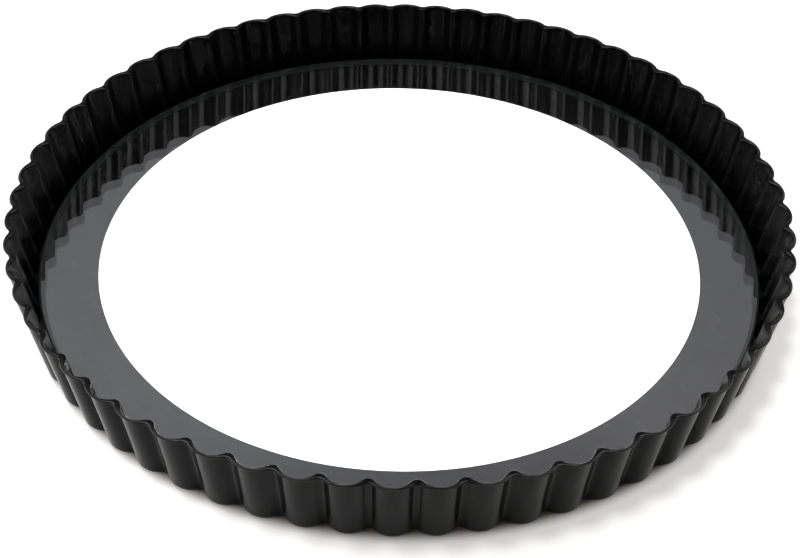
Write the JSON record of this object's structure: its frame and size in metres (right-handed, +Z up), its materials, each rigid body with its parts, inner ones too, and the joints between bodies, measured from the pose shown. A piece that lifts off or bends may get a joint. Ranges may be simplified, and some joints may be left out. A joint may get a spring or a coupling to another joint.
{
  "type": "loose-bottomed tart tin",
  "caption": "Round shallow baking tin: a fluted ring of dark coated steel with a flared lip and an inward ledge, and a clear glass disc that lies loose on the ledge as its base.",
  "frame": {"origin": "on the tin's axis, on the surface that it stands on", "axes": "+Z up along the tin's axis, out of its open top; +X through the crown of a flute"},
  "size_m": [0.28, 0.2796, 0.028],
  "materials": {
    "coated_steel": "satin dark non-stick coating",
    "clear_glass": "clear polished glass, faintly green at its ground edge"
  },
  "bodies": {
    "ring": {"fluted_ring": "coated_steel"},
    "base": {"glass_base": "clear_glass"}
  },
  "joints": [
    {"name": "base_lift", "type": "slide", "parent": "ring", "child": "base", "axis": [0, 0, 1], "range_m": [0, 0.04]}
  ]
}
